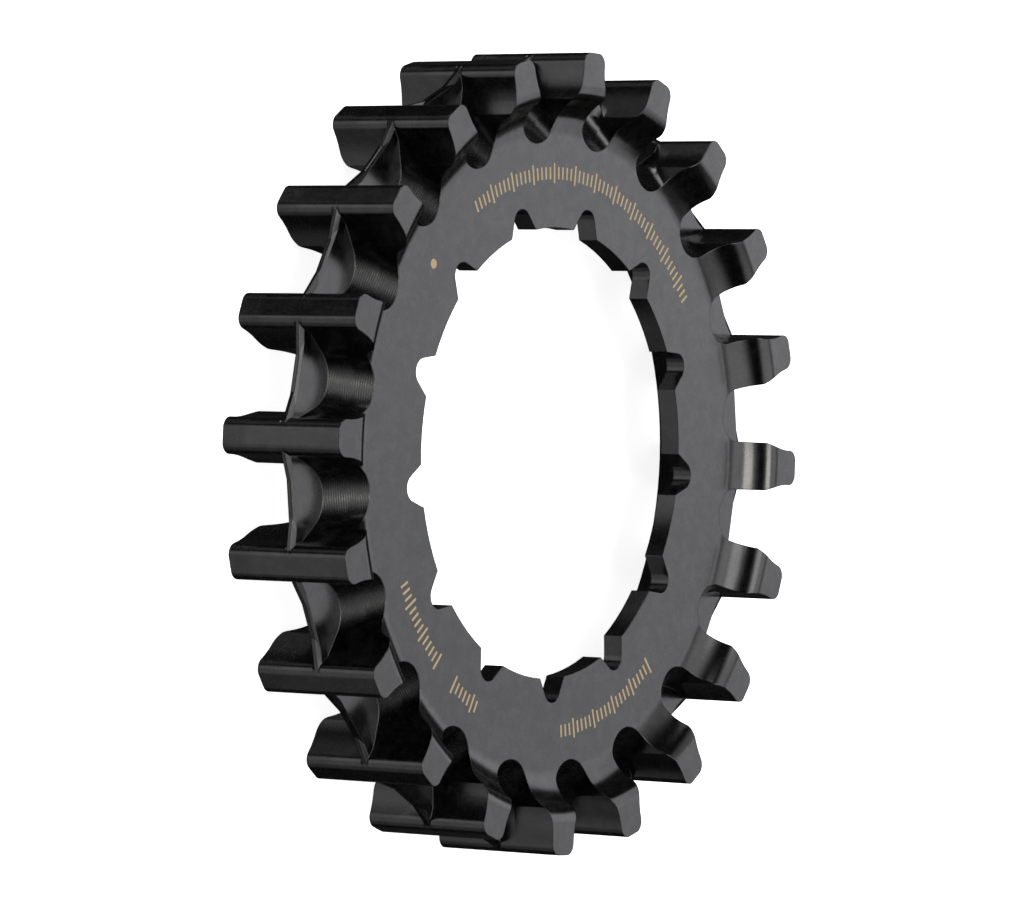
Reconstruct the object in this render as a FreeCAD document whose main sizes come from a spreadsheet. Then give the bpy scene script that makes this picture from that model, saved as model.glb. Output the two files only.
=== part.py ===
import FreeCAD, Part
import math
import os
import Sketcher
from FreeCAD import Placement, Rotation, Vector

# A toothed belt sprocket made as one piece of steel. It lies on the back ends of its teeth:
# the axis is +Z, Z = 0 is the plane of those ends, and the front face looks up.
# +Y runs through the middle of one tooth gap and of one bore notch.

doc = FreeCAD.newDocument("belt_sprocket")

# Driving dimensions, in millimetres and degrees. Depths of the tooth form are measured inwards
# from the tip circle, so the form follows the circle when the number of teeth changes.
DRIVING = [
    ("tooth_count", 20),
    ("belt_pitch", 11.0),
    ("pitch_line_offset", 0.66),
    ("tooth_length", 11.97),
    ("neck_width", 4.27),
    ("neck_depth", 4.05),
    ("flank_radius", 7.3),
    ("tip_round", 0.96),
    ("tip_round_spacing", 1.19),
    ("tip_overrun", 0.01),
    ("end_land_depth", 2.84),
    ("end_round", 1.5),
    ("cove_radius", 3.35),
    ("face_setback", 2.65),
    ("back_setback", 3.4),
    ("back_land_width", 1.7),
    ("web_setback", 5.55),
    ("web_thickness", 0.74),
    ("web_floor_depth", 5.1),
    ("web_floor_round", 2.8),
    ("web_foot_depth", 1.75),
    ("floor_angle", 42.6),
    ("rim_depth", 1.08),
    ("rim_bevel_depth", 0.22),
    ("rim_bevel_width", 0.2),
    ("rim_flat_width", 3.1),
    ("rim_ramp_angle", 13.0),
    ("rim_edge_width", 5.2),
    ("rim_edge_angle", 13.5),
    ("flange_thickness", 1.87),
    ("bore_radius", 19.35),
    ("notch_count", 13),
    ("notch_depth", 2.1),
    ("notch_angle", 52.6),
    ("notch_round", 1.17),
    ("recess_margin", 1.75),
    ("recess_round", 1.5),
    ("neck_run", 0.3),
    ("tool_clearance", 1.0),
]

# Positions worked out from the driving dimensions, as formulas of the second sheet.
DERIVED = [
    ("half_step", "180 / sizes.tooth_count"),
    ("tip_radius", "sizes.tooth_count * sizes.belt_pitch / (2 * pi) - sizes.pitch_line_offset"),
    ("end_land_radius", "tip_radius - sizes.end_land_depth"),
    ("face_level", "sizes.tooth_length - sizes.face_setback"),
    ("flange_back", "face_level - sizes.flange_thickness"),
    ("web_front", "sizes.tooth_length - sizes.web_setback"),
    ("web_back", "web_front - sizes.web_thickness"),
    ("notch_root", "sizes.bore_radius + sizes.notch_depth"),
    ("recess_radius", "notch_root + sizes.recess_margin"),
    # corners of a tooth beside the gap, turned half a tooth step from the middle of the gap
    ("neck_radius", "tip_radius - sizes.neck_depth"),
    ("neck_x", "neck_radius * sin(half_step) - sizes.neck_width / 2 * cos(half_step)"),
    ("neck_y", "neck_radius * cos(half_step) + sizes.neck_width / 2 * sin(half_step)"),
    ("tip_centre_across", "sizes.tip_round_spacing / 2"),
    ("tip_centre_radius", "tip_radius + sizes.tip_overrun - sizes.tip_round"),
    ("tip_centre_along", "sqrt(tip_centre_radius ^ 2 - tip_centre_across ^ 2)"),
    ("tip_centre_x", "tip_centre_along * sin(half_step) - tip_centre_across * cos(half_step)"),
    ("tip_centre_y", "tip_centre_along * cos(half_step) + tip_centre_across * sin(half_step)"),
    ("crest_x", "tip_centre_x * (tip_radius + sizes.tip_overrun) / tip_centre_radius"),
    ("crest_y", "tip_centre_y * (tip_radius + sizes.tip_overrun) / tip_centre_radius"),
    ("outside_x", "crest_x * (1 + sizes.tool_clearance / tip_radius)"),
    ("outside_y", "crest_y * (1 + sizes.tool_clearance / tip_radius)"),
    # floor of the gap: a round channel that touches both necks and climbs towards the web
    ("floor_rise", "tan(sizes.floor_angle)"),
    ("web_floor", "tip_radius - sizes.web_floor_depth"),
    ("web_floor_centre", "web_floor + sizes.web_floor_round"),
    ("web_foot_radius", "tip_radius - sizes.web_foot_depth"),
    ("knee_centre", "(neck_radius - sizes.neck_run) / cos(half_step)"),
    ("knee_round", "knee_centre * sin(half_step) - sizes.neck_width / 2"),
    ("knee_drop", "(web_floor - knee_centre + knee_round) / floor_rise"),
    ("front_reach", "sizes.web_setback + sizes.tool_clearance"),
    ("front_floor", "web_floor - front_reach * floor_rise"),
    ("back_reach", "web_back + sizes.tool_clearance"),
    ("back_floor", "web_floor - back_reach * floor_rise"),
    ("front_round", "(front_floor * sin(half_step) - sizes.neck_width / 2) / (1 - sin(half_step))"),
    ("back_round", "(back_floor * sin(half_step) - sizes.neck_width / 2) / (1 - sin(half_step))"),
    # rim of the web between two teeth
    ("rim_flat", "tip_radius - sizes.rim_depth"),
    ("rim_edge", "rim_flat - sizes.rim_bevel_depth"),
    ("rim_flat_half", "sizes.rim_flat_width / 2"),
    ("rim_edge_half", "sizes.rim_edge_width / 2"),
    ("bevel_front", "web_front - sizes.rim_bevel_width"),
    ("bevel_back", "web_back + sizes.rim_bevel_width"),
    # bore notch: two flanks at half the notch angle from its middle line, and a round root
    ("notch_half", "sizes.notch_angle / 2"),
    ("notch_centre", "notch_root - sizes.notch_round"),
    ("notch_side_x", "sizes.notch_round * cos(notch_half)"),
    ("notch_side_y", "notch_centre + sizes.notch_round * sin(notch_half)"),
    ("notch_mouth_y", "sizes.bore_radius - sizes.tool_clearance"),
    ("notch_mouth_x", "notch_side_x + (notch_side_y - notch_mouth_y) * tan(notch_half)"),
]

sizes = doc.addObject("Spreadsheet::Sheet", "sizes")
for row, (alias, value) in enumerate(DRIVING, start=1):
    sizes.set(f"A{row}", alias)
    sizes.set(f"B{row}", str(value))
    sizes.setAlias(f"B{row}", alias)
doc.recompute()

places = doc.addObject("Spreadsheet::Sheet", "places")
for row, (alias, formula) in enumerate(DERIVED, start=1):
    places.set(f"A{row}", alias)
    places.setAlias(f"B{row}", alias)
    places.set(f"B{row}", "=" + formula)
doc.recompute()


def number(name):
    """The present value of a named size, such as sizes.bore_radius."""
    sheet, alias = name.split(".")
    return float(doc.getObject(sheet).get(alias))


# Sketch helpers: a sketch starts at the present sizes and every dimension is bound to a cell.

def new_sketch(body, name, plane, level=None):
    """An empty sketch on one of the body's origin planes, lifted along Z to a named level."""
    sketch = body.newObject("Sketcher::SketchObject", name)
    for feature in body.Origin.OriginFeatures:
        if feature.Role == plane:
            sketch.AttachmentSupport = [(feature, "")]
    sketch.MapMode = "FlatFace"
    if level:
        sketch.setExpression(".AttachmentOffset.Base.z", level)
    return sketch


def bind(sketch, formula, *constraint):
    """Add a dimension whose value is a cell or a formula of cells."""
    index = sketch.addConstraint(Sketcher.Constraint(*constraint))
    label = f"size_{index}"
    sketch.renameConstraint(index, label)
    sketch.setExpression("Constraints." + label, formula)


def pin(sketch, edge, end, across, up):
    """Hold a point at a named distance from each axis of the sketch."""
    bind(sketch, across, "DistanceX", -1, 1, edge, end, number(across))
    bind(sketch, up, "DistanceY", -1, 1, edge, end, number(up))


def line(start, end):
    return Part.LineSegment(Vector(start[0], start[1], 0), Vector(end[0], end[1], 0))


def arc(centre, start, end):
    """An arc round centre, counter-clockwise from start to end."""
    radius = math.hypot(start[0] - centre[0], start[1] - centre[1])
    circle = Part.Circle(Vector(centre[0], centre[1], 0), Vector(0, 0, 1), radius)
    first = math.atan2(start[1] - centre[1], start[0] - centre[0])
    last = math.atan2(end[1] - centre[1], end[0] - centre[0])
    if last < first:
        last += 2 * math.pi
    return Part.ArcOfCircle(circle, first, last)


def join(sketch, *ends):
    """Make each pair of edge ends meet."""
    for first, first_end, second, second_end in ends:
        sketch.addConstraint(Sketcher.Constraint("Coincident", first, first_end, second, second_end))


# Geometry that more than one sketch starts from.

def flank_centre():
    """Centre of the hollow flank: it passes the neck corner and touches the tip rounding."""
    neck = (number("places.neck_x"), number("places.neck_y"))
    tip = (number("places.tip_centre_x"), number("places.tip_centre_y"))
    to_neck = number("sizes.flank_radius")
    to_tip = to_neck + number("sizes.tip_round")
    gap = math.hypot(tip[0] - neck[0], tip[1] - neck[1])
    along = (to_neck ** 2 - to_tip ** 2 + gap ** 2) / (2 * gap)
    off = math.sqrt(to_neck ** 2 - along ** 2)
    ux = (tip[0] - neck[0]) / gap
    uy = (tip[1] - neck[1]) / gap
    return (neck[0] + along * ux - off * uy, neck[1] + along * uy + off * ux)


def mirrored(point):
    return (-point[0], point[1])


def circle_crossing(centre, radius, reach):
    """Right-hand point of a circle that lies at a distance reach from the axis, below its centre."""
    away = math.hypot(centre[0], centre[1])
    along = (reach ** 2 - radius ** 2 + away ** 2) / (2 * away)
    off = math.sqrt(reach ** 2 - along ** 2)
    ux, uy = centre[0] / away, centre[1] / away
    return (along * ux + off * uy, along * uy - off * ux)


def tangent_point(centre, radius, outside):
    """Lower right point where the line from an outside point touches a circle."""
    dx, dy = outside[0] - centre[0], outside[1] - centre[1]
    away = math.hypot(dx, dy)
    turn = math.atan2(dy, dx) - math.acos(radius / away)
    return (centre[0] + radius * math.cos(turn), centre[1] + radius * math.sin(turn))


def line_crossing(start, slope, centre, radius):
    """First point where a line that climbs to the right meets a circle."""
    length = math.hypot(1, slope)
    ux, uy = 1 / length, slope / length
    dx, dy = start[0] - centre[0], start[1] - centre[1]
    half = dx * ux + dy * uy
    step = -half - math.sqrt(half ** 2 - (dx ** 2 + dy ** 2 - radius ** 2))
    return (start[0] + step * ux, start[1] + step * uy)


def tip_points():
    """Start of the open side, crest and centre of the rounding at the right-hand tooth tip."""
    return [(number(f"places.{name}_x"), number(f"places.{name}_y"))
            for name in ("outside", "crest", "tip_centre")]


def pin_tip(sketch, outer, rounding):
    """Fix the line that leads in from outside and the rounding of the right-hand tooth tip."""
    pin(sketch, outer, 1, "places.outside_x", "places.outside_y")
    pin(sketch, rounding, 3, "places.tip_centre_x", "places.tip_centre_y")
    bind(sketch, "sizes.tip_round", "Radius", rounding, number("sizes.tip_round"))
    bind(sketch, "places.crest_x", "DistanceX", -1, 1, outer, 2, number("places.crest_x"))


def mirror_pairs(sketch, *pairs):
    """Make points of the left side mirror images of points on the right."""
    for left, left_end, right, right_end in pairs:
        sketch.addConstraint(Sketcher.Constraint("Symmetric", left, left_end, right, right_end, -2))


def gap_sketch(body, name, level, kind, *floor):
    """Outline of the space between two teeth at one level, open outwards past the tip circle.

    The flanks and tips are the same at every level. Only the floor differs: "channel" is an arc
    of the named radius that touches both necks, and "web" is the wider floor where the channel
    meets the web.
    """
    sketch = new_sketch(body, name, "XY_Plane", level)
    outside, crest, tip = tip_points()
    neck = (number("places.neck_x"), number("places.neck_y"))
    hollow = flank_centre()
    reach = math.hypot(tip[0] - hollow[0], tip[1] - hollow[1])
    share = number("sizes.flank_radius") / reach
    touch = (hollow[0] + (tip[0] - hollow[0]) * share, hollow[1] + (tip[1] - hollow[1]) * share)
    half_step = math.radians(number("places.half_step"))
    if kind == "channel":
        radius = number(floor[0])
        centre_y = (radius + number("sizes.neck_width") / 2) / math.sin(half_step)
        foot = neck
        start = (radius * math.cos(half_step), centre_y - radius * math.sin(half_step))
    else:
        centre_y = number("places.web_floor_centre")
        radius = number("sizes.web_floor_round")
        foot_radius = number("places.web_foot_radius")
        foot = circle_crossing(hollow, number("sizes.flank_radius"), foot_radius)
        start = tangent_point((0.0, centre_y), radius, foot)
    sketch.addGeometry([
        line(outside, crest),
        arc(tip, crest, touch),
        arc(hollow, foot, touch),
        line(foot, start),
        arc((0.0, centre_y), mirrored(start), start),
        line(mirrored(start), mirrored(foot)),
        arc(mirrored(hollow), mirrored(touch), mirrored(foot)),
        arc(mirrored(tip), mirrored(touch), mirrored(crest)),
        line(mirrored(crest), mirrored(outside)),
        line(mirrored(outside), outside),
    ], False)
    join(sketch,
         (0, 2, 1, 1), (2, 1, 3, 1), (4, 1, 5, 1),
         (5, 2, 6, 2), (6, 1, 7, 1), (7, 2, 8, 1), (8, 2, 9, 1), (9, 2, 0, 1))
    # right side: tip rounding, hollow flank and the corner where the neck starts
    pin_tip(sketch, 0, 1)
    sketch.addConstraint(Sketcher.Constraint("Tangent", 1, 2, 2, 2))
    bind(sketch, "sizes.flank_radius", "Radius", 2, number("sizes.flank_radius"))
    sketch.addConstraint(Sketcher.Constraint("Tangent", 3, 2, 4, 2))
    sketch.addConstraint(Sketcher.Constraint("PointOnObject", 4, 3, -2))
    if kind == "channel":
        pin(sketch, 2, 1, "places.neck_x", "places.neck_y")
        bind(sketch, "(90 - places.half_step) * 1 deg", "Angle", -1, 1, 3, 2, math.pi / 2 - half_step)
        bind(sketch, floor[0], "Radius", 4, radius)
    else:
        corner = sketch.addGeometry(Part.Point(Vector(neck[0], neck[1], 0)), True)
        pin(sketch, corner, 1, "places.neck_x", "places.neck_y")
        sketch.addConstraint(Sketcher.Constraint("PointOnObject", corner, 1, 2))
        bind(sketch, "places.web_foot_radius", "Distance", -1, 1, 3, 1, foot_radius)
        bind(sketch, "sizes.web_floor_round", "Radius", 4, radius)
        bind(sketch, "places.web_floor_centre", "DistanceY", -1, 1, 4, 3, centre_y)
    mirror_pairs(sketch, (9, 1, 0, 1), (7, 2, 1, 1), (7, 1, 1, 2), (6, 2, 2, 1))
    sketch.addConstraint(Sketcher.Constraint("Equal", 7, 1))
    sketch.addConstraint(Sketcher.Constraint("Equal", 6, 2))
    sketch.addConstraint(Sketcher.Constraint("Horizontal", 4, 1, 4, 2))
    return sketch


def rim_sketch(body, name, level, half_width, height, climb):
    """Outline of the web's rim at one level: flat in the middle, then climbing to both teeth.

    It is given by the named end of its flat part and the named angle of the climb, which ends on
    the rounding of the tooth tip.
    """
    sketch = new_sketch(body, name, "XY_Plane", level)
    outside, crest, tip = tip_points()
    start = (number(half_width), number(height))
    angle = math.radians(number(climb))
    foot = line_crossing(start, math.tan(angle), tip, number("sizes.tip_round"))
    sketch.addGeometry([
        line(outside, crest),
        arc(tip, crest, foot),
        line(foot, start),
        line(start, mirrored(start)),
        line(mirrored(start), mirrored(foot)),
        arc(mirrored(tip), mirrored(foot), mirrored(crest)),
        line(mirrored(crest), mirrored(outside)),
        line(mirrored(outside), outside),
    ], False)
    join(sketch,
         (0, 2, 1, 1), (1, 2, 2, 1), (2, 2, 3, 1), (3, 2, 4, 1),
         (4, 2, 5, 1), (5, 2, 6, 1), (6, 2, 7, 1), (7, 2, 0, 1))
    pin_tip(sketch, 0, 1)
    pin(sketch, 2, 2, half_width, height)
    bind(sketch, climb + " * 1 deg", "Angle", -1, 1, 2, 2, angle)
    mirror_pairs(sketch, (7, 1, 0, 1), (5, 2, 1, 1), (5, 1, 1, 2), (4, 1, 2, 2))
    sketch.addConstraint(Sketcher.Constraint("Equal", 5, 1))
    return sketch


steps = []


def finish_step(feature):
    """Work out the solid up to this feature and note the volume that it leaves."""
    doc.recompute()
    steps.append((feature.Name, feature.Shape.Volume))


def revolved_blank(body):
    """The turned blank: bore flange, coved tooth ring with rounded end corners, back recess."""
    sketch = new_sketch(body, "blank_section", "XZ_Plane")
    tip = number("places.tip_radius")
    length = number("sizes.tooth_length")
    face = number("places.face_level")
    flange_back = number("places.flange_back")
    bore = number("sizes.bore_radius")
    land = number("places.end_land_radius")
    cove = number("sizes.cove_radius")
    corner = number("sizes.end_round")
    setback = number("sizes.back_setback")
    # at both ends two arcs touch each other, the cove and the end corner
    turn = math.acos(1 - number("sizes.face_setback") / (cove + corner))
    cove_start = land - (cove + corner) * math.sin(turn)
    front_meet = (cove_start + cove * math.sin(turn), face + cove * (1 - math.cos(turn)))
    back_turn = math.acos(1 - setback / (cove + corner))
    back_cove = land - (cove + corner) * math.sin(back_turn)
    back_meet = (back_cove + cove * math.sin(back_turn), corner * (1 - math.cos(back_turn)))
    ring_inner = (back_cove - number("sizes.back_land_width"), setback)
    recess = (number("places.recess_radius"), flange_back)
    # rounded inner corner of the recess
    dx, dy = ring_inner[0] - recess[0], ring_inner[1] - recess[1]
    slant = math.hypot(dx, dy)
    ux, uy = dx / slant, dy / slant
    fillet = number("sizes.recess_round")
    half = math.acos(-ux) / 2
    trim = fillet / math.tan(half)
    fillet_top = (recess[0] - trim, flange_back)
    fillet_side = (recess[0] + ux * trim, recess[1] + uy * trim)
    fillet_centre = (fillet_top[0], flange_back - fillet)
    sketch.addGeometry([
        line((bore, flange_back), (bore, face)),
        line((bore, face), (cove_start, face)),
        arc((cove_start, face + cove), (cove_start, face), front_meet),
        arc((land, length - corner), (land, length), front_meet),
        line((land, length), (tip, length)),
        line((tip, length), (tip, 0)),
        line((tip, 0), (land, 0)),
        arc((land, corner), back_meet, (land, 0)),
        arc((back_cove, setback - cove), back_meet, (back_cove, setback)),
        line((back_cove, setback), ring_inner),
        line(ring_inner, fillet_side),
        arc(fillet_centre, fillet_side, fillet_top),
        line(fillet_top, (bore, flange_back)),
    ], False)
    join(sketch,
         (0, 2, 1, 1), (4, 2, 5, 1), (5, 2, 6, 1), (9, 2, 10, 1), (12, 2, 0, 1))
    for first, first_end, second, second_end in (
            (1, 2, 2, 1), (2, 2, 3, 2), (3, 1, 4, 1), (6, 2, 7, 2), (7, 1, 8, 1), (8, 2, 9, 1),
            (10, 2, 11, 1), (11, 2, 12, 1)):
        sketch.addConstraint(Sketcher.Constraint("Tangent", first, first_end, second, second_end))
    for edge in (1, 4, 6, 9, 12):
        sketch.addConstraint(Sketcher.Constraint("Horizontal", edge))
    for edge in (0, 5):
        sketch.addConstraint(Sketcher.Constraint("Vertical", edge))
    pin(sketch, 0, 2, "sizes.bore_radius", "places.face_level")
    bind(sketch, "places.flange_back", "DistanceY", -1, 1, 0, 1, flange_back)
    pin(sketch, 4, 1, "places.end_land_radius", "sizes.tooth_length")
    bind(sketch, "places.tip_radius", "DistanceX", -1, 1, 5, 1, tip)
    sketch.addConstraint(Sketcher.Constraint("PointOnObject", 5, 2, -1))
    bind(sketch, "sizes.cove_radius", "Radius", 2, cove)
    bind(sketch, "sizes.end_round", "Radius", 3, corner)
    bind(sketch, "places.end_land_radius", "DistanceX", -1, 1, 6, 2, land)
    bind(sketch, "sizes.end_round", "Radius", 7, corner)
    bind(sketch, "sizes.cove_radius", "Radius", 8, cove)
    bind(sketch, "sizes.back_setback", "DistanceY", -1, 1, 9, 2, setback)
    bind(sketch, "sizes.back_land_width", "DistanceX", 9, 2, 9, 1, number("sizes.back_land_width"))
    mark = sketch.addGeometry(Part.Point(Vector(recess[0], recess[1], 0)), True)
    pin(sketch, mark, 1, "places.recess_radius", "places.flange_back")
    sketch.addConstraint(Sketcher.Constraint("PointOnObject", mark, 1, 10))
    bind(sketch, "sizes.recess_round", "Radius", 11, fillet)
    doc.recompute()
    blank = body.newObject("PartDesign::Revolution", "blank")
    blank.Profile = sketch
    blank.ReferenceAxis = (sketch, ["V_Axis"])
    blank.Angle = 360
    finish_step(blank)


def gap_loft(body, name, sections):
    """One cut between two teeth, ruled from section to section."""
    cut = body.newObject("PartDesign::SubtractiveLoft", name)
    cut.Profile = sections[0]
    cut.Sections = sections[1:]
    cut.Ruled = True
    finish_step(cut)
    return cut


def around(body, name, features, count):
    """Repeat cuts evenly round the axis."""
    pattern = body.newObject("PartDesign::PolarPattern", name)
    pattern.Originals = features
    for feature in body.Origin.OriginFeatures:
        if feature.Role == "Z_Axis":
            pattern.Axis = (feature, [""])
    pattern.Angle = 360
    pattern.setExpression("Occurrences", count)
    body.Tip = pattern
    finish_step(pattern)


def notch_cut(body):
    """One notch of the bore, cut down through the flange."""
    sketch = new_sketch(body, "notch_outline", "XY_Plane", "places.face_level")
    side = (number("places.notch_side_x"), number("places.notch_side_y"))
    mouth = (number("places.notch_mouth_x"), number("places.notch_mouth_y"))
    centre = (0.0, number("places.notch_centre"))
    sketch.addGeometry([
        line(mirrored(mouth), mouth),
        line(mouth, side),
        arc(centre, side, mirrored(side)),
        line(mirrored(side), mirrored(mouth)),
    ], False)
    join(sketch, (0, 2, 1, 1), (1, 2, 2, 1), (2, 2, 3, 1), (3, 2, 0, 1))
    pin(sketch, 1, 1, "places.notch_mouth_x", "places.notch_mouth_y")
    pin(sketch, 1, 2, "places.notch_side_x", "places.notch_side_y")
    bind(sketch, "sizes.notch_round", "Radius", 2, number("sizes.notch_round"))
    sketch.addConstraint(Sketcher.Constraint("Symmetric", 3, 2, 1, 1, -2))
    sketch.addConstraint(Sketcher.Constraint("Symmetric", 3, 1, 1, 2, -2))
    doc.recompute()
    cut = body.newObject("PartDesign::Pocket", "notch")
    cut.Profile = sketch
    cut.Type = "Length"
    cut.setExpression("Length", "sizes.flange_thickness + sizes.tool_clearance")
    finish_step(cut)
    return cut


body = doc.addObject("PartDesign::Body", "sprocket")
body.Label = "sprocket"

revolved_blank(body)

# A gap is cut in three steps: from the front down to the web, through the web's rim, and from
# the back up to the web. In the front and back steps the floor climbs towards the web.
front_floor = [
    gap_sketch(body, "front_end", "sizes.tooth_length + sizes.tool_clearance",
               "channel", "places.front_round"),
    gap_sketch(body, "front_knee", "places.web_front + places.knee_drop",
               "channel", "places.knee_round"),
    gap_sketch(body, "front_web", "places.web_front", "web"),
]
rim = [
    rim_sketch(body, "rim_front", "places.web_front",
               "places.rim_edge_half", "places.rim_edge", "sizes.rim_edge_angle"),
    rim_sketch(body, "rim_upper", "places.bevel_front",
               "places.rim_flat_half", "places.rim_flat", "sizes.rim_ramp_angle"),
    rim_sketch(body, "rim_lower", "places.bevel_back",
               "places.rim_flat_half", "places.rim_flat", "sizes.rim_ramp_angle"),
    rim_sketch(body, "rim_back", "places.web_back",
               "places.rim_edge_half", "places.rim_edge", "sizes.rim_edge_angle"),
]
back_floor = [
    gap_sketch(body, "back_web", "places.web_back", "web"),
    gap_sketch(body, "back_knee", "places.web_back - places.knee_drop",
               "channel", "places.knee_round"),
    gap_sketch(body, "back_end", "-sizes.tool_clearance",
               "channel", "places.back_round"),
]
doc.recompute()
cuts = [
    gap_loft(body, "front_gap", front_floor),
    gap_loft(body, "rim_gap", rim),
    gap_loft(body, "back_gap", back_floor),
]
around(body, "gaps", cuts, "sizes.tooth_count")
around(body, "notches", [notch_cut(body)], "sizes.notch_count")

body.Placement = Placement(Vector(0, 0, 0), Rotation())
doc.recompute()

# Nothing is written unless every feature worked and every cut removed material.
for item in doc.Objects:
    if "Invalid" in item.State or "Error" in item.State:
        raise RuntimeError(f"{item.Name} did not build: {item.State}")
for (before, larger), (after, smaller) in zip(steps, steps[1:]):
    if not 0 < smaller < larger:
        raise RuntimeError(f"{after} removed nothing from {before}")
if body.Shape.isNull() or not body.Shape.isValid() or len(body.Shape.Solids) != 1:
    raise RuntimeError("the sprocket is not one valid solid")

os.makedirs("parts", exist_ok=True)
body.Shape.exportStep("parts/" + body.Label + ".step")
print(f"sprocket: {len(body.Shape.Faces)} faces, {body.Shape.Volume:.1f} cubic millimetres")
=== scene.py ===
import math

import bpy
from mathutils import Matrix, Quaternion, Vector

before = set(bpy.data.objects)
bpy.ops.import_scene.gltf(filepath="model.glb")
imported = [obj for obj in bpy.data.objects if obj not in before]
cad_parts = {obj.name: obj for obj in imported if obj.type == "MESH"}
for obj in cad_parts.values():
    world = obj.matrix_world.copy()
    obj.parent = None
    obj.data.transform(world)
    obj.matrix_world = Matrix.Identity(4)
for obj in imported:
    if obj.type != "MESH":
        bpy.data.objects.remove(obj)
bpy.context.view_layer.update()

# The sprocket: one ring of hardened steel, turned, milled along its tooth gaps and finished in a
# satin black coat. The cutter left fine ridges across the gap floors, every edge is broken by a
# fraction of a millimetre, and plain scales of ticks are etched through the coat of the face.
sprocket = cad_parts["sprocket"]
edge_break = 0.00014
face_level = 0.0093

# Blotches of the coat, in number to the metre, and how its sheen varies.
grain_scale = 5200.0
wander_scale = 900.0
cloud_scale = 160.0
mottle_range = (0.42, 0.62)
polish = 0.13
haze = 0.16
haze_roughness = 0.2
coat_index = 1.61
relief_depth = 0.00002
black = (0.0, 0.0, 0.0, 1.0)
dusty = (0.0052, 0.0052, 0.0058, 1.0)

# The floor of a gap leaves the face at this radius and goes down at this angle to the axis.
gap_start = 0.02658
gap_slope = math.radians(42.6)
gap_lead = 0.0004
gap_lip = 0.0002
floor_reach = (0.0006, 0.0012)
ridge_pitch = 0.0002
ridge_wander = 0.0001
ridge_patches = (0.3, 0.75)

# The etched scales, with angles in degrees round the ring from their own zero.
scale_radius = 0.0240
scale_zero = -60.0
scales = ((51.0, 138.0), (223.5, 244.5), (250.5, 261.0), (291.0, 327.0))
tick_pitch = 1.5
ticks_in_group = 5
tick_half_width = 0.00011
tick_half_length = 0.00085
short_tick = 0.62
dot_turn = 156.0
dot_radius = 0.00042
etched = (0.40, 0.29, 0.14, 1.0)


class Value:
    """A number or vector that a shader socket gives; arithmetic on it adds Math nodes."""

    def __init__(self, nodes, socket):
        self.nodes = nodes
        self.socket = socket

    def math(self, operation, *others, swap=False):
        terms = (others[0], self) if swap else (self, *others)
        return self.nodes.add("ShaderNodeMath", {"operation": operation}, *terms)

    def __add__(self, other):
        return self.math("ADD", other)

    def __sub__(self, other):
        return self.math("SUBTRACT", other)

    def __mul__(self, other):
        return self.math("MULTIPLY", other)

    def __truediv__(self, other):
        return self.math("DIVIDE", other)

    def __gt__(self, other):
        return self.math("GREATER_THAN", other)

    def __lt__(self, other):
        return self.math("LESS_THAN", other)

    def __rsub__(self, other):
        return self.math("SUBTRACT", other, swap=True)

    __radd__ = __add__
    __rmul__ = __mul__

    def off_centre(self):
        """How far the value is from the middle of the whole step that it lies in."""
        return (self.math("FRACT") - 0.5).math("ABSOLUTE")

    def output(self, index):
        """Another output of the node that gave this value."""
        return Value(self.nodes, self.socket.node.outputs[index])


class Nodes:
    """The emptied node tree of a new material or world."""

    def __init__(self, owner):
        owner.use_nodes = True
        self.owner = owner
        self.tree = owner.node_tree
        self.tree.nodes.clear()

    def add(self, kind, settings=None, *inputs, output=0, **named):
        """Adds a node: its settings first, then its sockets by place, by number or by name."""
        node = self.tree.nodes.new(kind)
        for key, setting in (settings or {}).items():
            setattr(node, key, setting)
        places = list(enumerate(inputs))
        for name, source in named.items():
            number = name.removeprefix("socket_")
            places.append((int(number) if number.isdigit() else name.replace("_", " "), source))
        for place, source in places:
            if isinstance(source, Value):
                self.tree.links.new(source.socket, node.inputs[place])
            else:
                node.inputs[place].default_value = source
        return Value(self, node.outputs[output]) if node.outputs else None

    def ramp(self, value, start, end):
        """Rises smoothly from 0 to 1 as the value goes from start to end."""
        settings = {"interpolation_type": "SMOOTHSTEP"}
        return self.add("ShaderNodeMapRange", settings, value, start, end)

    def noise(self, place, scale, roughness):
        """Soft blotches of that scale with finer ones over them."""
        return self.add(
            "ShaderNodeTexNoise", {}, Vector=place, Scale=scale, Detail=3.0, Roughness=roughness)

    def blend(self, factor, first, second):
        """Mixes two colours."""
        settings = {"data_type": "RGBA"}
        return self.add(
            "ShaderNodeMix", settings, factor, socket_6=first, socket_7=second, output=2)


coat = Nodes(bpy.data.materials.new("black_coat"))
place = coat.add("ShaderNodeTexCoord", output=3)
across = coat.add("ShaderNodeSeparateXYZ", {}, place)
along = across.output(1)
height = across.output(2)
radius = (across * across + along * along).math("SQRT")
grain = coat.noise(place, grain_scale, 0.6)
wander = coat.noise(place, wander_scale, 0.7)
cloud = coat.noise(place, cloud_scale, 0.55)

# Ticks and the dot, where 1 is bare etched metal.
degrees = along.math("ARCTAN2", across) * (180.0 / math.pi)
turn = ((degrees - scale_zero) / 360.0).math("FRACT") * 360.0
arc_length = radius * (math.pi / 180.0)
from_tick = (turn / tick_pitch).off_centre() * tick_pitch * arc_length
from_scale = (radius - scale_radius).math("ABSOLUTE")
is_long = (turn / (ticks_in_group * tick_pitch)).off_centre() < 0.5 / ticks_in_group
tick_reach = tick_half_length * (short_tick + (1.0 - short_tick) * is_long)
ticks = (from_tick < tick_half_width) * (from_scale < tick_reach)
windows = [(turn > first) * (turn < last) for first, last in scales]
from_dot = (turn - dot_turn) * arc_length
dot = (from_dot * from_dot + from_scale * from_scale).math("SQRT") < dot_radius
marks = (ticks * sum(windows) + dot) * (height > face_level)

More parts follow.
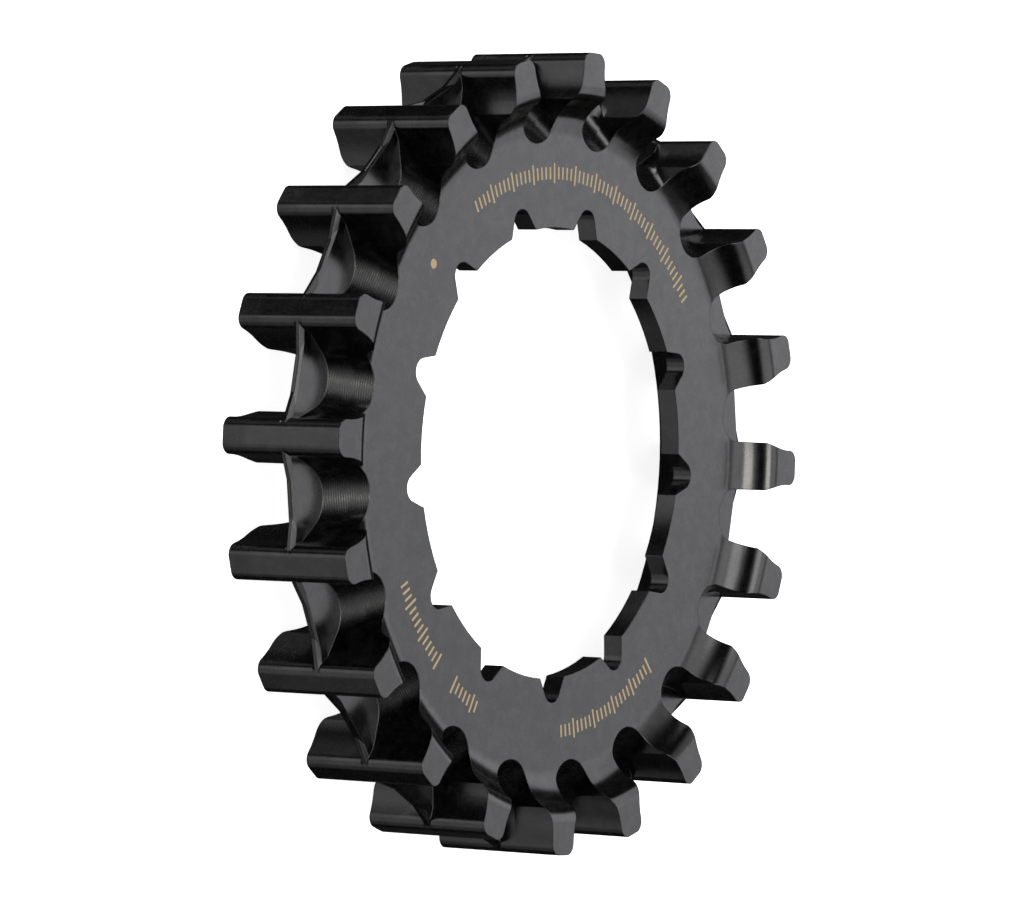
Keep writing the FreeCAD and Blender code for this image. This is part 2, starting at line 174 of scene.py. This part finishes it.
# Cutter ridges run across the gap floors, and come and go along them.
depth = face_level - height
outward = radius - gap_start
down_gap = outward * math.sin(gap_slope) + depth * math.cos(gap_slope)
off_floor = outward * math.cos(gap_slope) - depth * math.sin(gap_slope)
milled = (1.0 - coat.ramp(off_floor, *floor_reach)) * coat.ramp(depth, 0.0, gap_lip)
milled = milled * coat.ramp(outward, -gap_lead, 0.0)
ridges = ((down_gap + ridge_wander * wander) * (2 * math.pi / ridge_pitch)).math("SINE")
ridges = ridges * milled * coat.ramp(wander, *ridge_patches)

rough = polish + 0.08 * grain + 0.03 * cloud + 0.08 * milled + 0.25 * marks
mottle = coat.ramp(0.5 * grain + 0.5 * wander, *mottle_range)
colour = coat.blend(marks, coat.blend(mottle, black, dusty), etched)
edge = coat.add("ShaderNodeBevel", {"samples": 6}, Radius=edge_break)
relief = 1.3 * grain + 0.8 * ridges - 0.4 * marks
bump = coat.add(
    "ShaderNodeBump", {}, Strength=0.2, Distance=relief_depth, Height=relief, Normal=edge)
shader = coat.add(
    "ShaderNodeBsdfPrincipled", {},
    Base_Color=colour, Roughness=rough, IOR=coat_index, Normal=bump,
    Coat_Weight=haze * mottle, Coat_Roughness=haze_roughness)
coat.add("ShaderNodeOutputMaterial", {}, shader)
sprocket.material_slots[0].material = coat.owner

# The studio floor: a large sheet of matt white paper that the part lies on. Mirror rays pass
# through it, so that the coat mirrors the room below instead of a white sheet.
floor_half = 3.0
paper_white = (0.9, 0.9, 0.9, 1.0)
paper_glow = 0.9
bpy.ops.mesh.primitive_plane_add(size=2 * floor_half, location=(0, 0, 0))
floor = bpy.context.object
floor.name = "floor"
floor.visible_glossy = False
paper = Nodes(bpy.data.materials.new("white_paper"))
seen = paper.add("ShaderNodeLightPath")
sheet = paper.add("ShaderNodeBsdfDiffuse", {}, Color=paper_white)
glow = paper.add(
    "ShaderNodeEmission", {}, Color=(1.0, 1.0, 1.0, 1.0), Strength=seen * paper_glow)
both = paper.add("ShaderNodeAddShader", {}, sheet, glow)
paper.add("ShaderNodeOutputMaterial", {}, both)
floor.data.materials.append(paper.owner)

# The room: a pale ceiling with a bright patch on the camera's side and a faint one opposite,
# dim walls, one tall narrow window, and lit panels below the level of the part. Heights are
# those of a direction, from -1 straight down to 1 straight up.
wall_level = 0.022
ceiling_level = 1.65
ceiling_heights = (0.45, 0.85)
window_level = 3.8
window_plane = 144.0
window_sides = (0.05, 0.19)
window_foot = (-0.55, -0.38)
window_head = (0.1, 0.5)
panel_elevation = -35.0
panels = (
    {"azimuth": 73.0, "edge": 14.0, "core": 6.0, "level": 0.26},
    {"azimuth": 120.0, "edge": 19.0, "core": 4.0, "level": 1.1},
    {"azimuth": 159.0, "edge": 26.0, "core": 4.0, "level": 0.68},
    {"azimuth": -160.0, "edge": 18.0, "core": 6.0, "level": 0.25},
)

room = Nodes(bpy.data.worlds.new("studio"))
look = room.add("ShaderNodeTexCoord", output=0)
upward = room.add("ShaderNodeSeparateXYZ", {}, look).output(2)


def bearing(azimuth, elevation):
    """The unit vector that points that way."""
    turned = math.radians(azimuth)
    raised = math.radians(elevation)
    level = math.cos(raised)
    return Vector((level * math.cos(turned), level * math.sin(turned), math.sin(raised)))


def nearness(azimuth, elevation):
    """The cosine of the angle between where a ray goes and that direction."""
    return room.add(
        "ShaderNodeVectorMath", {"operation": "DOT_PRODUCT"}, look,
        bearing(azimuth, elevation), output=1)


def patch(azimuth, elevation, edge, core):
    """A round patch of the room that fades between those two angles from its middle."""
    edge_cosine = math.cos(math.radians(edge))
    core_cosine = math.cos(math.radians(core))
    return room.ramp(nearness(azimuth, elevation), edge_cosine, core_cosine)


ceiling = patch(100.0, 76.0, edge=58.0, core=20.0) * room.ramp(upward, *ceiling_heights)
sideways = nearness(window_plane, 0.0).math("ABSOLUTE")
window = 1.0 - room.ramp(sideways, *window_sides)
window = window * room.ramp(upward, *window_foot) * (1.0 - room.ramp(upward, *window_head))
window = window * patch(54.0, -6.0, edge=80.0, core=60.0)
brightness = wall_level + ceiling_level * ceiling + window_level * window
brightness = brightness + 1.85 * patch(80.0, 64.0, edge=21.0, core=8.0)
brightness = brightness + 0.3 * patch(-35.0, 59.0, edge=25.0, core=6.0)
for panel in panels:
    lit = patch(panel["azimuth"], panel_elevation, panel["edge"], panel["core"])
    brightness = brightness + panel["level"] * lit
room.add("ShaderNodeOutputWorld", {}, room.add("ShaderNodeBackground", {}, brightness))
bpy.context.scene.world = room.owner

# The soft boxes: lamps behind white cloth, on stands round the part. The far pair is what the
# flat face mirrors, and the near one, high above the camera, draws the bright bands in the coves.
cool = (0.98, 0.985, 1.02)
warm = (1.03, 1.0, 0.90)


def soft_box(name, direction, distance, width, height, brightness, tint):
    """A rectangular lamp that faces the origin, its power set from how bright it looks."""
    lamp = bpy.data.lights.new(name, "AREA")
    lamp.color = tint
    lamp.shape = "RECTANGLE"
    lamp.size = width
    lamp.size_y = height
    lamp.energy = brightness * math.pi * width * height
    holder = bpy.data.objects.new(name, lamp)
    bpy.context.scene.collection.objects.link(holder)
    holder.location = direction * distance
    holder.rotation_mode = "QUATERNION"
    holder.rotation_quaternion = direction.to_track_quat("Z", "Y")


soft_box("far_box", bearing(-35.0, 33.7), 1.0, 1.3, 0.41, brightness=1.19, tint=cool)
soft_box("far_core", bearing(-20.0, 30.5), 0.95, 0.68, 0.36, brightness=0.38, tint=cool)
soft_box("near_box", bearing(131.0, 65.8), 0.9, 0.19, 0.42, brightness=5.8, tint=warm)

# The camera: a long lens that looks down on the part from one side, rolled until the ring
# stands on edge in the picture. It aims a little beside the middle of the ring.
camera_azimuth = 136.2317
camera_elevation = 35.1251
camera_roll = 91.6201
camera_distance = 0.54626
camera_aim = Vector((0.001477, -0.001831, 0.003313))
toward_camera = bearing(camera_azimuth, camera_elevation)
rolled = Quaternion((0.0, 0.0, 1.0), math.radians(camera_roll))
lens = bpy.data.cameras.new("camera")
lens.sensor_width = 36.0
lens.lens = 221.7077
lens.clip_start = 0.01
lens.clip_end = 20.0
camera = bpy.data.objects.new("camera", lens)
bpy.context.scene.collection.objects.link(camera)
camera.location = camera_aim + toward_camera * camera_distance
camera.rotation_mode = "QUATERNION"
camera.rotation_quaternion = toward_camera.to_track_quat("Z", "Y") @ rolled
bpy.context.scene.camera = camera
bpy.context.scene.view_settings.view_transform = "Standard"
